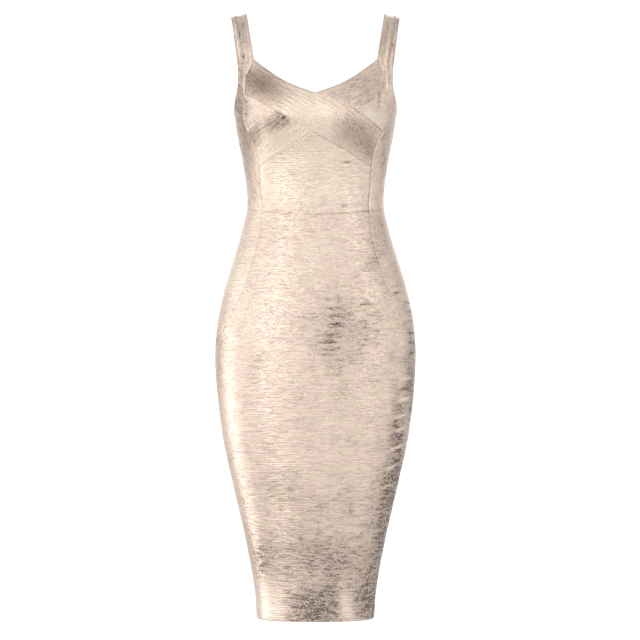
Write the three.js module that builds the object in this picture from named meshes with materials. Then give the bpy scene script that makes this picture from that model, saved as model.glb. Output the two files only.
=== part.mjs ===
// A sleeveless fitted midi dress in foiled stretch knit, held out in its worn shape.
// Millimetres, +Z up. The front faces -Y and the wearer's left is +X.
// The origin lies midway between the straps, at the level where they rest on the shoulders.
import * as THREE from "three";

const clothWall = 2; // thickness of the heavy knit
const seamGap = 0.3; // space between two panels where they are sewn

// Level sections of the filled-out dress. halfWidth is at the side seam, front and back are
// depths from the side seam's plane, and power is 2 for an ellipse and more for a squarer one.
const sections = [
  { z: -75, halfWidth: 150, front: 92, back: 80, power: 2.4 },
  { z: -125, halfWidth: 146, front: 99, back: 88, power: 2.4 },
  { z: -165, halfWidth: 138.5, front: 103, back: 91, power: 2.35 },
  { z: -200, halfWidth: 133.2, front: 102, back: 90, power: 2.3 },
  { z: -250, halfWidth: 123.5, front: 96, back: 84, power: 2.3 },
  { z: -290, halfWidth: 117.5, front: 90, back: 78, power: 2.3 },
  { z: -328, halfWidth: 116, front: 88, back: 76, power: 2.25 },
  { z: -365, halfWidth: 124.6, front: 90, back: 81, power: 2.2 },
  { z: -405, halfWidth: 136.2, front: 94, back: 93, power: 2.2 },
  { z: -445, halfWidth: 148.6, front: 98, back: 105, power: 2.2 },
  { z: -485, halfWidth: 159.2, front: 101, back: 114, power: 2.2 },
  { z: -525, halfWidth: 166.6, front: 103, back: 119, power: 2.2 },
  { z: -575, halfWidth: 170.3, front: 104, back: 119, power: 2.2 },
  { z: -615, halfWidth: 169, front: 103, back: 114, power: 2.2 },
  { z: -675, halfWidth: 163.4, front: 100, back: 103, power: 2.2 },
  { z: -735, halfWidth: 154, front: 96, back: 94, power: 2.2 },
  { z: -790, halfWidth: 141.6, front: 91, back: 86, power: 2.25 },
  { z: -870, halfWidth: 122.8, front: 83, back: 78, power: 2.35 },
  { z: -935, halfWidth: 109.5, front: 78, back: 74, power: 2.45 },
  { z: -985, halfWidth: 101.8, front: 76, back: 73, power: 2.55 },
  { z: -1023, halfWidth: 98.9, front: 75, back: 72, power: 2.6 },
];

// The crossed bands are cut to stand out over two cups, and are drawn taut between them.
const cups = {
  x: 68,
  z: -176,
  height: 22,
  reachOut: 42,
  reachUp: 75,
  reachDown: 48,
  centreShare: 0.78,
  foldedIn: 0.45, // cosine of the angle past which the fullness starts to fade to the side seam
};

// The strap's path from the chest over the shoulder to the back, seen from the side.
const shoulder = {
  frontBase: -83,
  backBase: -110,
  topY: 5,
  slope: 0.225, // fall of the shoulder for each millimetre outwards
  frontHandles: [48, 40],
  backHandles: [62, 36],
};

// Distances of the strap's two edges, and of the ridge seam along it, from the centre line.
const strapEdges = {
  neck: { front: 103, top: 116.5, back: 107 },
  ridge: { front: 121, top: 136, back: 124 },
  armhole: { front: 130, top: 143.5, back: 131 },
};

const waist = { centre: -342, rise: 14 }; // the waist seam climbs by this towards the sides
const hemLevel = -1023;
const underarm = { degrees: 90, z: -167 };
const hipPoint = { degrees: 90, z: -566 };
const strapTip = { x: 120.5, z: -139 };
const tipInner = { x: 118.5, z: -140 };
const cupPoint = { x: 66, z: -171 };
const bustCentre = { x: 0, z: -209 };
const waistDegrees = 55.5; // where the princess seam crosses the waist seam, from the centre front
const waistCorner = { degrees: waistDegrees, z: waistLevel(radians(waistDegrees)) };

// The princess seam on the bodice, from the strap down to the waist.
const princess = [
  { ...strapTip, mark: "strapTip" },
  { x: 120.2, z: -153 },
  { x: 120.8, z: -172 },
  { x: 118.5, z: -189 },
  { x: 113, z: -203, mark: "cupBase" },
  { x: 106.5, z: -214 },
  { x: 100.4, z: -228 },
  { x: 96, z: -245 },
  { x: 93.6, z: -263, mark: "bandBase" },
  { x: 91.7, z: -297 },
  { ...waistCorner, mark: "waist" },
];

// The same seam below the waist, swinging out to the side seam at the hip.
const hipSeam = [
  waistCorner,
  { degrees: 54.8, z: -366 },
  { degrees: 55.5, z: -398 },
  { degrees: 57.3, z: -430 },
  { degrees: 60, z: -463 },
  { degrees: 64, z: -488 },
  { degrees: 67.5, z: -507 },
  { degrees: 73, z: -530 },
  { degrees: 80, z: -549 },
  hipPoint,
];

const neckline = [
  { x: 0, z: -142 },
  { x: 38, z: -128 },
  { x: 63, z: -114 },
  { x: 84, z: -98.5 },
  { x: strapEdges.neck.front, z: shoulder.frontBase },
];

const strapWedge = [
  { x: strapEdges.neck.front, z: shoulder.frontBase },
  { x: 109, z: -97 },
  { x: 115.5, z: -113 },
  tipInner,
];

const frontArmhole = [
  underarm,
  { degrees: 81, z: -160 },
  { degrees: 74, z: -147.5 },
  { degrees: 69, z: -134 },
  { x: strapEdges.armhole.front, z: -120 },
];

const backArmhole = [
  underarm,
  { degrees: 98, z: -161 },
  { degrees: 105, z: -147 },
  { degrees: 109, z: -131 },
  { x: strapEdges.armhole.back, z: shoulder.backBase, behind: true },
];

const backNeckline = [
  { x: 0, z: -180, behind: true },
  { x: 38, z: -173, behind: true },
  { x: 72, z: -153, behind: true },
  { x: 96, z: -128, behind: true },
  { x: strapEdges.neck.back, z: shoulder.backBase, behind: true },
];

// How many steps each edge is cut into. Two panels that meet share the same steps.
const steps = {
  neckline: 8,
  cup: 9,
  band: 5,
  midriff: 5,
  shoulder: 8,
  strapWidth: 2,
  sideWidth: 3,
  armhole: 4,
  backNeckline: 4,
  hip: 10,
  skirt: 14,
};
steps.waistFront = 2 * steps.cup;
steps.waistBack = steps.backNeckline + steps.strapWidth + steps.sideWidth + steps.armhole;
steps.bodiceSide = steps.midriff + steps.band;
const girthPerRadian = 120; // about the girth to a radian, so that a seam is stepped evenly

// Small moves along the cloth that find the direction it faces.
const smallMoves = { angle: 0.01, z: 1, x: 0.5, travel: 0.01, belowBase: 5 };

const finish = { roughness: 0.34, metalness: 0.85 };

const tones = {
  strap: 0xdcc9b4,
  over: 0xeedfc9,
  under: 0xd9c6b0,
  cup: 0xf2e4cc,
  front: 0xe9dac6,
  side: 0xdccab6,
  back: 0xe1d1bc,
};

function radians(degrees) {
  return THREE.MathUtils.degToRad(degrees);
}

function lerp(a, b, share) {
  return a + (b - a) * share;
}

function waistLevel(angle) {
  return waist.centre + waist.rise * (1 - Math.max(0, Math.cos(angle)));
}

// Slope of one column of the section table at a row.
function slopeAt(column, row) {
  const before = sections[Math.max(0, row - 1)];
  const after = sections[Math.min(sections.length - 1, row + 1)];
  return (after[column] - before[column]) / (after.z - before.z);
}

// One column of the section table at any level, on a smooth curve through its rows.
function sizeAt(column, z) {
  let row = 0;
  while (row < sections.length - 2 && sections[row + 1].z > z) row += 1;
  const upper = sections[row];
  const lower = sections[row + 1];
  const span = lower.z - upper.z;
  const t = (z - upper.z) / span;
  const riseUpper = slopeAt(column, row) * span * t;
  const riseLower = slopeAt(column, row + 1) * span * (1 - t);
  const fromUpper = (upper[column] * (1 + 2 * t) + riseUpper) * (1 - t) ** 2;
  return fromUpper + (lower[column] * (3 - 2 * t) - riseLower) * t ** 2;
}

function cupFullness(x, z) {
  const reach = z > cups.z ? cups.reachUp : cups.reachDown;
  const level = Math.exp(-(((z - cups.z) / reach) ** 2));
  const outside = Math.abs(x) - cups.x;
  const fade = Math.exp(-((outside / cups.reachOut) ** 2));
  const taut = lerp(cups.centreShare, 1, Math.sin((Math.PI / 2) * Math.abs(x / cups.x)) ** 2);
  return cups.height * level * (outside > 0 ? fade : taut);
}

// A point of the filled-out dress at an angle round it, 0 at the centre front, and a level.
function bodyPoint(angle, z) {
  const power = sizeAt("power", z);
  const depth = sizeAt(Math.cos(angle) > 0 ? "front" : "back", z);
  const across = Math.abs(Math.sin(angle)) / sizeAt("halfWidth", z);
  const through = Math.abs(Math.cos(angle)) / depth;
  const radius = (across ** power + through ** power) ** (-1 / power);
  const x = radius * Math.sin(angle);
  const forward = THREE.MathUtils.smoothstep(Math.cos(angle), 0, cups.foldedIn);
  return new THREE.Vector3(x, -radius * Math.cos(angle) - forward * cupFullness(x, z), z);
}

// The angle round the dress of a point that lies a distance x from the centre line.
function angleAt({ x, z, degrees, behind }) {
  if (degrees !== undefined) return radians(degrees);
  const power = sizeAt("power", z);
  const depth = behind ? -sizeAt("back", z) : sizeAt("front", z);
  const share = (1 - (x / sizeAt("halfWidth", z)) ** power) ** (1 / power);
  return Math.atan2(x, depth * share);
}

// A surface point with the direction that faces out of the cloth, worked out by small moves.
function withNormal(surface, u, v, moveU, moveV) {
  const alongU = surface(u + moveU, v).sub(surface(u - moveU, v));
  const alongV = surface(u, v + moveV).sub(surface(u, v - moveV));
  return { point: surface(u, v), normal: alongU.cross(alongV).normalize() };
}

function onBody({ angle, z }) {
  return withNormal(bodyPoint, angle, z, smallMoves.angle, smallMoves.z);
}

// The strap's side view at a distance x from the centre line, from its base up to the shoulder.
function strapCurve(x, behind) {
  const base = behind ? shoulder.backBase : shoulder.frontBase;
  const [baseHandle, topHandle] = behind ? shoulder.backHandles : shoulder.frontHandles;
  const foot = bodyPoint(angleAt({ x, z: base, behind }), base);
  const lower = base - smallMoves.belowBase;
  const below = bodyPoint(angleAt({ x, z: lower, behind }), lower);
  const rise = new THREE.Vector2(foot.y - below.y, foot.z - below.z).setLength(baseHandle);
  const start = new THREE.Vector2(foot.y, foot.z);
  const top = new THREE.Vector2(shoulder.topY, (strapEdges.neck.top - x) * shoulder.slope + clothWall);
  const beforeTop = new THREE.Vector2(top.x + (behind ? topHandle : -topHandle), top.y);
  return new THREE.CubicBezierCurve(start, start.clone().add(rise), beforeTop, top);
}

// A point on the strap: travel is 0 at its front base, 1 on the shoulder and 2 at its back base.
function strapPoint(x, travel) {
  const behind = travel > 1;
  const side = Math.abs(x);
  const flat = strapCurve(side, behind).getPoint(behind ? 2 - travel : travel);
  return new THREE.Vector3(x, flat.x, flat.y);
}

function strapEdgeAt({ front, top, back }, travel) {
  const base = travel > 1 ? back : front;
  return lerp(base, top, Math.sin((Math.PI / 2) * (travel > 1 ? 2 - travel : travel)));
}

// Rows across the strap between two of its edges, from just above the front base to the back base.
function strapRows(innerEdge, outerEdge, across) {
  const rows = [];
  for (let step = 1; step < 2 * steps.shoulder; step += 1) {
    const travel = step / steps.shoulder;
    const inner = strapEdgeAt(innerEdge, travel);
    const outer = strapEdgeAt(outerEdge, travel);
    rows.push(evenly(across, (share) => {
      return withNormal(strapPoint, lerp(inner, outer, share), travel, smallMoves.x, smallMoves.travel);
    }));
  }
  rows.push(backBaseRow(innerEdge, outerEdge, across).map(onBody));
  return rows;
}

function backBaseRow(innerEdge, outerEdge, across) {
  const z = shoulder.backBase;
  return evenly(across, (share) => {
    return { angle: angleAt({ x: lerp(innerEdge.back, outerEdge.back, share), z, behind: true }), z };
  });
}

function evenly(count, make) {
  return Array.from({ length: count + 1 }, (_, i) => make(i / count));
}

// Points along a seam given as a table, as angles and levels.
function along(table, count) {
  const line = table.map((row) => new THREE.Vector2(girthPerRadian * angleAt(row), row.z));
  const stepped = new THREE.SplineCurve(line).getSpacedPoints(count);
  return stepped.map(({ x, y }) => ({ angle: x / girthPerRadian, z: y }));
}

// The stretch of the princess seam between two of its marks.
function princessStretch(fromMark, toMark, count) {
  const line = princess.map((row) => new THREE.Vector2(angleAt(row), row.z));
  const curve = new THREE.SplineCurve(line);
  const last = princess.length - 1;
  const from = princess.findIndex((row) => row.mark === fromMark) / last;
  const to = princess.findIndex((row) => row.mark === toMark) / last;
  return evenly(count, (share) => {
    const { x, y } = curve.getPoint(lerp(from, to, share));
    return { angle: x, z: y };
  });
}

function level(fromAngle, toAngle, count, zAt) {
  return evenly(count, (share) => {
    const angle = lerp(fromAngle, toAngle, share);
    return { angle, z: zAt(angle) };
  });
}

function mirrored(line) {
  return line.map(({ angle, z }) => ({ angle: -angle, z }));
}

function reversed(line) {
  return line.slice().reverse();
}

// Joins lines end to end, with each shared end once.
function chain(...lines) {
  return lines.flatMap((line, i) => (i === 0 ? line : line.slice(1)));
}

// A four-sided patch between its edges. Top and bottom run the same way, and so do both sides.
function patch(top, bottom, near, far) {
  const wide = top.length - 1;
  const high = near.length - 1;
  return near.map((_, j) => {
    const down = j / high;
    return top.map((_, i) => {
      const over = i / wide;
      const mix = (key) => {
        const ends = lerp(top[i][key], bottom[i][key], down) + lerp(near[j][key], far[j][key], over);
        const topCorners = lerp(top[0][key], top[wide][key], over);
        return ends - lerp(topCorners, lerp(bottom[0][key], bottom[wide][key], over), down);
      };
      return { angle: mix("angle"), z: mix("z") };
    });
  });
}

// A three-sided patch: two edges leave one corner, and the third closes them.
function wedge(edgeA, edgeB, closing) {
  const last = edgeA.length - 1;
  return edgeA.map((a, j) => {
    if (j === last) return closing;
    return Array.from({ length: j + 1 }, (_, i) => {
      const share = j === 0 ? 0 : i / j;
      return { angle: lerp(a.angle, edgeB[j].angle, share), z: lerp(a.z, edgeB[j].z, share) };
    });
  });
}

// Faces between each row and the next. A row may be one point longer than the one before it, or
// close in a single point. Rows of the same length leave squares, cut on their shorter diagonals.
function stitch(rows) {
  const points = rows.flat().map(({ point }) => point);
  const faces = [];
  let start = 0;
  for (let j = 0; j < rows.length - 1; j += 1) {
    const here = rows[j].length;
    const next = rows[j + 1].length;
    const below = start + here;
    for (let i = 0; i < Math.max(here, next) - 1; i += 1) {
      if (next === here) faces.push(...square(points, start + i, start + i + 1, below + i + 1, below + i));
      if (next > here) faces.push([start + i, below + i + 1, below + i]);
      if (next > here && i < here - 1) faces.push([start + i, start + i + 1, below + i + 1]);
      if (next < here) faces.push([start + i, start + i + 1, below]);
    }
    start = below;
  }
  return faces;
}

function square(points, a, b, c, d) {
  const shorter = points[a].distanceTo(points[c]) < points[b].distanceTo(points[d]);
  return shorter ? [[a, b, c], [a, c, d]] : [[a, b, d], [b, c, d]];
}

function facesOutwards(points, faces) {
  let sum = 0;
  for (const [a, b, c] of faces) {
    const ab = points[b].point.clone().sub(points[a].point);
    const ac = points[c].point.clone().sub(points[a].point);
    sum += ab.cross(ac).dot(points[a].normal);
  }
  return sum > 0;
}

// The edges used by one face only, each in the direction of its face.
function rim(faces) {
  const open = new Map();
  for (const [a, b, c] of faces) {
    for (const [from, to] of [[a, b], [b, c], [c, a]]) {
      if (!open.delete(to + "_" + from)) open.set(from + "_" + to, [from, to]);
    }
  }
  return [...open.values()];
}

// Draws the rim back by half a seam gap, square to each edge, so that neighbours stay apart.
function drawBack(points, edges) {
  const inward = new Map();
  for (const [from, to] of edges) {
    const along = points[to].point.clone().sub(points[from].point).normalize();
    const normal = points[from].normal.clone().add(points[to].normal).normalize();
    const side = normal.cross(along).normalize();
    for (const end of [from, to]) inward.set(end, [...(inward.get(end) || []), side]);
  }
  for (const [index, [first, second]] of inward) {
    const mitre = seamGap / 2 / (1 + first.dot(second));
    points[index].point.addScaledVector(first.clone().add(second), mitre);
  }
}

// One cut piece of cloth: a wall between its outer points and the same points moved inwards.
function clothPiece(name, rows, tone) {
  const points = rows.flat().map(({ point, normal }) => ({ point: point.clone(), normal }));
  let faces = stitch(rows);
  if (!facesOutwards(points, faces)) faces = faces.map(([a, b, c]) => [a, c, b]);
  const edges = rim(faces);
  drawBack(points, edges);
  const inner = points.map(({ point, normal }) => point.clone().addScaledVector(normal, -clothWall));
  const count = points.length;
  const index = [];
  for (const [a, b, c] of faces) index.push(a, b, c, count + a, count + c, count + b);
  for (const [from, to] of edges) index.push(from, count + from, to, to, count + from, count + to);
  const geometry = new THREE.BufferGeometry();
  geometry.setFromPoints([...points.map(({ point }) => point), ...inner]);
  geometry.setIndex(index);
  geometry.computeVertexNormals();
  const material = new THREE.MeshStandardMaterial({ color: tone, ...finish });
  const mesh = new THREE.Mesh(geometry, material);
  mesh.name = name;
  return mesh;
}

function bodyPiece(name, rows, tone) {
  return clothPiece(name, rows.map((row) => row.map(onBody)), tone);
}

// A piece on one side of the dress: its rows are those of the wearer's left, or their mirror image.
function sidePiece(name, side, rows, tone) {
  const placed = side > 0 ? rows : rows.map((row) => row.map(mirrorPoint));
  return clothPiece(name + (side > 0 ? "_left" : "_right"), placed, tone);
}

function mirrorPoint({ point, normal }) {
  const flip = new THREE.Vector3(-1, 1, 1);
  return { point: point.clone().multiply(flip), normal: normal.clone().multiply(flip) };
}

// The seams of the wearer's left half, stepped once and shared by the pieces on both sides.
const seams = {
  neck: along(neckline, steps.neckline),
  wedge: along(strapWedge, steps.band),
  overTop: along([neckline[0], cupPoint], steps.band),
  cupTop: along([cupPoint, tipInner], steps.neckline),
  cupLow: along([cupPoint, princess.find((row) => row.mark === "cupBase")], steps.cup),
  crossing: along([cupPoint, bustCentre], steps.band),
  bandLow: along([bustCentre, princess.find((row) => row.mark === "bandBase")], steps.cup),
  cupSide: princessStretch("strapTip", "cupBase", steps.cup),
  bandSide: princessStretch("cupBase", "bandBase", steps.band),
  midriffSide: princessStretch("bandBase", "waist", steps.midriff),
  hip: along(hipSeam, steps.hip),
  bodiceSide: along([underarm, { degrees: 90, z: waistLevel(radians(90)) }], steps.bodiceSide),
  hipSide: along([{ degrees: 90, z: waistLevel(radians(90)) }, hipPoint], steps.hip),
  skirtSide: along([hipPoint, { degrees: 90, z: hemLevel }], steps.skirt),
  waistFront: level(-angleAt(waistCorner), angleAt(waistCorner), steps.waistFront, waistLevel),
  waistSide: level(angleAt(waistCorner), radians(90), steps.sideWidth, waistLevel),
  waistBack: level(radians(180), radians(90), steps.waistBack, waistLevel),
  hemFront: level(-radians(90), radians(90), steps.waistFront, () => hemLevel),
  hemBack: level(radians(180), radians(90), steps.waistBack, () => hemLevel),
  frontArmhole: along(frontArmhole, steps.cup),
  backArmhole: along(backArmhole, steps.armhole),
  backNeck: along(backNeckline, steps.backNeckline),
};

// The band from the wearer's right strap, which crosses over to the left side below the bust.
function overBand() {
  const top = chain(reversed(mirrored(seams.neck)), seams.overTop, seams.cupLow);
  const bottom = chain(reversed(mirrored(seams.cupTop)), mirrored(seams.crossing), seams.bandLow);
  return bodyPiece("band_over", patch(top, bottom, mirrored(seams.wedge), seams.bandSide), tones.over);
}

// The other band passes under it, so it shows as an upper and a lower piece.
function underBandUpper() {
  const rows = patch(seams.neck, seams.cupTop, seams.overTop, seams.wedge);
  return bodyPiece("band_under_upper", rows, tones.under);
}

function underBandLower() {
  const ends = [mirrored(seams.crossing), mirrored(seams.bandSide)];
  const rows = patch(mirrored(seams.cupLow), mirrored(seams.bandLow), ...ends);
  return bodyPiece("band_under_lower", rows, tones.under);
}

function sideCup(side) {
  const tip = { angle: angleAt(strapTip), z: strapTip.z };
  const rows = wedge([...seams.cupTop, tip], seams.cupLow, seams.cupSide);
  return sidePiece("side_cup", side, rows.map((row) => row.map(onBody)), tones.cup);
}

function midriff() {
  const top = chain(reversed(mirrored(seams.bandLow)), seams.bandLow);
  const rows = patch(top, seams.waistFront, mirrored(seams.midriffSide), seams.midriffSide);
  return bodyPiece("midriff_front", rows, tones.front);
}

// The inner strip of a strap, which tapers to a point between the band and the princess seam.
function strap(side) {
  const ridge = ridgeFoot();
  const foot = seams.wedge.map((inner, j) => acrossRow(inner, ridge[j], steps.strapWidth).map(onBody));
  const rows = [...reversed(foot), ...strapRows(strapEdges.neck, strapEdges.ridge, steps.strapWidth)];
  return sidePiece("strap", side, rows, tones.strap);
}

// The ridge seam from the strap's front base down to the tip of the inner strip.
function ridgeFoot() {
  return along([{ x: strapEdges.ridge.front, z: shoulder.frontBase }, strapTip], steps.band);
}

function acrossRow(from, to, count) {
  return evenly(count, (share) => {
    return { angle: lerp(from.angle, to.angle, share), z: lerp(from.z, to.z, share) };
  });
}

// The side front panel runs from the waist up past the armhole, and on as the strap's outer strip.
function sideFront(side) {
  const armholeTop = frontArmhole[frontArmhole.length - 1];
  const strapFoot = along([armholeTop, { x: strapEdges.armhole.front, z: shoulder.frontBase }], steps.band);
  const front = chain(
    reversed(seams.midriffSide),
    reversed(seams.bandSide),
    reversed(seams.cupSide),
    reversed(ridgeFoot()),
  );
  const outer = chain(reversed(seams.bodiceSide), seams.frontArmhole, strapFoot);
  const foot = front.map((point, j) => acrossRow(point, outer[j], steps.sideWidth).map(onBody));
  foot[0] = seams.waistSide.map(onBody);
  const rows = [...foot, ...strapRows(strapEdges.ridge, strapEdges.armhole, steps.sideWidth)];
  return sidePiece("side_front", side, rows, tones.side);
}

function backBodice(side) {
  const top = chain(
    seams.backNeck,
    backBaseRow(strapEdges.neck, strapEdges.ridge, steps.strapWidth),
    backBaseRow(strapEdges.ridge, strapEdges.armhole, steps.sideWidth),
    reversed(seams.backArmhole),
  );
  const centreTop = { degrees: 180, z: backNeckline[0].z };
  const centre = along([centreTop, { degrees: 180, z: waistLevel(Math.PI) }], steps.bodiceSide);
  const rows = patch(top, seams.waistBack, centre, seams.bodiceSide);
  return sidePiece("back_bodice", side, rows.map((row) => row.map(onBody)), tones.back);
}

// The wedge from the waist to the hip, between the princess seam and the side seam.
function hipSide(side) {
  const rows = seams.hip.map((point, j) => acrossRow(point, seams.hipSide[j], steps.sideWidth));
  rows[0] = seams.waistSide;
  rows[steps.hip] = [seams.hip[steps.hip]];
  return sidePiece("hip_side", side, rows.map((row) => row.map(onBody)), tones.side);
}

function skirtFront() {
  const edge = chain(seams.hip, seams.skirtSide);
  return bodyPiece("skirt_front", patch(seams.waistFront, seams.hemFront, mirrored(edge), edge), tones.front);
}

function backSkirt(side) {
  const centreTop = { degrees: 180, z: waistLevel(Math.PI) };
  const centre = along([centreTop, { degrees: 180, z: hemLevel }], steps.hip + steps.skirt);
  const rows = patch(seams.waistBack, seams.hemBack, centre, chain(seams.hipSide, seams.skirtSide));
  return sidePiece("back_skirt", side, rows.map((row) => row.map(onBody)), tones.back);
}

const dress = new THREE.Group();
dress.name = "bodycon_dress";
dress.add(overBand(), underBandUpper(), underBandLower(), midriff(), skirtFront());
for (const side of [1, -1]) {
  dress.add(strap(side), sideFront(side), sideCup(side), hipSide(side), backBodice(side), backSkirt(side));
}

export default dress;
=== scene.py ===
import bisect
import math

import bpy
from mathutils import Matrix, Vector, kdtree, noise


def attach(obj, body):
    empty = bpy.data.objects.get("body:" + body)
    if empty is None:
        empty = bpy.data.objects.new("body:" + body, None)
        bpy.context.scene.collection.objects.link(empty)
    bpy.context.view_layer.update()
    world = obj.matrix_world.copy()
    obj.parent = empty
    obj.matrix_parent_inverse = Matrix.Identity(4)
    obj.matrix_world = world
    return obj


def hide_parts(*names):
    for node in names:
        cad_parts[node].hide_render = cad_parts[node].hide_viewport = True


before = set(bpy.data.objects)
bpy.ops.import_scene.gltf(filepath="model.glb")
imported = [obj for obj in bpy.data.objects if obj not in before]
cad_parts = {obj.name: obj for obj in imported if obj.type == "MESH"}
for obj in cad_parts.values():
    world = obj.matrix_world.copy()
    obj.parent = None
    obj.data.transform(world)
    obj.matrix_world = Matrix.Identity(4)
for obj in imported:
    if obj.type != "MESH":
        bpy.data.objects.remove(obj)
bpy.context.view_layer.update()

# A sleeveless fitted midi dress in foiled stretch knit. The front faces -Y, the wearer's left is +X.
# The cut is worked out in millimetres and scaled to metres where a mesh is made.
metre = 0.001

knit = {
    "wall": 2.0,          # thickness of the cloth
    "allowance": 1.1,     # what a turned or seamed edge adds to it inside
    "allowanceWidth": 8,  # how wide the seam allowance lies on each side of a seam
    "seamGap": 0.3,       # space between two panels where they are sewn
    "across": 4.0,        # size of a mesh square along the girth
    "down": 1.7,          # and down the dress, where the crinkles are fine
    "atSeam": 0.65,       # and next to a seam
    "grading": 1.35,      # how fast squares grow away from a seam
    "girth": 120,         # about the girth to a radian
    "weld": 0.03,         # points nearer than this are one
    "smoothUpTo": 48,     # degrees between faces that shade as one
}

# Level sections of the filled-out dress, as in the frame.
sectionNames = ("z", "halfWidth", "front", "back", "power")
sectionRows = [
    (-75, 150, 92, 80, 2.4),
    (-125, 146, 99, 88, 2.4),
    (-165, 138.5, 103, 91, 2.35),
    (-200, 133.2, 102, 90, 2.3),
    (-250, 123.5, 96, 84, 2.3),
    (-290, 117.5, 90, 78, 2.3),
    (-328, 116, 88, 76, 2.25),
    (-365, 124.6, 90, 81, 2.2),
    (-405, 136.2, 94, 93, 2.2),
    (-445, 148.6, 98, 105, 2.2),
    (-485, 159.2, 101, 114, 2.2),
    (-525, 166.6, 103, 119, 2.2),
    (-575, 170.3, 104, 119, 2.2),
    (-615, 169, 103, 114, 2.2),
    (-675, 163.4, 100, 103, 2.2),
    (-735, 154, 96, 94, 2.2),
    (-790, 141.6, 91, 86, 2.25),
    (-870, 122.8, 83, 78, 2.35),
    (-935, 109.5, 78, 74, 2.45),
    (-985, 101.8, 76, 73, 2.55),
    (-1023, 98.9, 75, 72, 2.6),
]
section = dict(zip(sectionNames, zip(*sectionRows)))
depths = [-z for z in section["z"]]

# Where each cup swells, and by how much.
cups = {
    "x": 68, "z": -176, "height": 22, "reachOut": 42, "reachUp": 75, "reachDown": 48,
    "centreShare": 0.78, "foldedIn": 0.45,
}
# The strap's run over the shoulder, then how far its edges lie from the centre line.
shoulder = {
    "frontBase": -83, "backBase": -110, "topY": 5, "slope": 0.225,
    "frontHandles": (48, 40), "backHandles": (62, 36), "tangentStep": 5,
    "rowsEachWay": 76, "spotsEachWay": 150,
}
strapEdges = {
    "neck": {"front": 103, "top": 116.5, "back": 107},
    "ridge": {"front": 121, "top": 136, "back": 124},
    "armhole": {"front": 130, "top": 143.5, "back": 131},
}
levels = {"waist": -342, "waistRise": 14, "hem": -1023, "underarm": -167, "backNeck": -180, "hipPoint": -566}
waistDegrees = 55.5      # from the centre front round to where the princess seam meets the waist
# Small moves that find which way a surface faces: radians, millimetres, and shares of a strap's length.
probe = {"angle": 0.01, "level": 1, "x": 0.5, "travel": 0.01}


def lerp(a, b, share):
    return a + (b - a) * share


def smooth(value, low, high):
    share = min(max((value - low) / (high - low), 0), 1)
    return share * share * (3 - 2 * share)


def bell(distance, reach):
    return math.exp(-((distance / reach) ** 2))


def slopeAt(column, row):
    before = max(0, row - 1)
    after = min(len(depths) - 1, row + 1)
    return (section[column][after] - section[column][before]) / (section["z"][after] - section["z"][before])


slopes = {name: [slopeAt(name, row) for row in range(len(depths))] for name in sectionNames[1:]}


# One column of the section table at any level, on a smooth curve through its rows.
def sizeAt(column, z):
    row = min(max(bisect.bisect_left(depths, -z) - 1, 0), len(depths) - 2)
    span = section["z"][row + 1] - section["z"][row]
    t = (z - section["z"][row]) / span
    riseUpper = slopes[column][row] * span * t
    riseLower = slopes[column][row + 1] * span * (1 - t)
    fromUpper = (section[column][row] * (1 + 2 * t) + riseUpper) * (1 - t) ** 2
    return fromUpper + (section[column][row + 1] * (3 - 2 * t) - riseLower) * t ** 2


def cupFullness(x, z):
    reach = cups["reachUp"] if z > cups["z"] else cups["reachDown"]
    outside = abs(x) - cups["x"]
    taut = lerp(cups["centreShare"], 1, math.sin(math.pi / 2 * min(1, abs(x / cups["x"]))) ** 2)
    share = bell(outside, cups["reachOut"]) if outside > 0 else taut
    return cups["height"] * bell(z - cups["z"], reach) * share


# A point of the dress at an angle round it, 0 at the centre front, and a level.
def bodyPoint(angle, z):
    power = sizeAt("power", z)
    sine = math.sin(angle)
    cosine = math.cos(angle)
    depth = sizeAt("front" if cosine > 0 else "back", z)
    across = abs(sine) / sizeAt("halfWidth", z)
    radius = (across ** power + (abs(cosine) / depth) ** power) ** (-1 / power)
    x = radius * sine
    forward = smooth(cosine, 0, cups["foldedIn"])
    fullness = forward * cupFullness(x, z) if forward else 0
    return Vector((x, -radius * cosine - fullness, z))


def angleAt(x, z, behind=False):
    power = sizeAt("power", z)
    depth = -sizeAt("back", z) if behind else sizeAt("front", z)
    return math.atan2(x, depth * (1 - (x / sizeAt("halfWidth", z)) ** power) ** (1 / power))


# A surface point and the direction out of the cloth there, from small moves either way.
def withNormal(surface, u, v, moveU, moveV):
    alongU = surface(u + moveU, v) - surface(u - moveU, v)
    alongV = surface(u, v + moveV) - surface(u, v - moveV)
    return surface(u, v), alongU.cross(alongV).normalized()


def onBody(spot):
    return withNormal(bodyPoint, *spot, probe["angle"], probe["level"])


def bezier(points, t):
    while len(points) > 1:
        points = [a.lerp(b, t) for a, b in zip(points, points[1:])]
    return points[0]


# The strap's side view at a distance x from the centre line, from its base up to the shoulder.
def strapCurve(x, behind):
    base = shoulder["backBase"] if behind else shoulder["frontBase"]
    baseHandle, topHandle = shoulder["backHandles"] if behind else shoulder["frontHandles"]
    lower = base - shoulder["tangentStep"]
    foot = bodyPoint(angleAt(x, base, behind), base).yz
    below = bodyPoint(angleAt(x, lower, behind), lower).yz
    top = Vector((shoulder["topY"], (strapEdges["neck"]["top"] - x) * shoulder["slope"] + knit["wall"]))
    beforeTop = Vector((top.x + (topHandle if behind else -topHandle), top.y))
    return [foot, foot + (foot - below).normalized() * baseHandle, beforeTop, top]


# A point on the strap: travel is 0 at its front base, 1 on the shoulder and 2 at its back base.
def strapPoint(x, travel):
    behind = travel > 1
    flat = bezier(strapCurve(abs(x), behind), 2 - travel if behind else travel)
    return Vector((x, flat.x, flat.y))


def strapEdgeAt(name, travel):
    edge = strapEdges[name]
    base = edge["back"] if travel > 1 else edge["front"]
    return lerp(base, edge["top"], math.sin(math.pi / 2 * (2 - travel if travel > 1 else travel)))


def waistLevel(angle):
    return levels["waist"] + levels["waistRise"] * (1 - max(0, math.cos(angle)))


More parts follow.
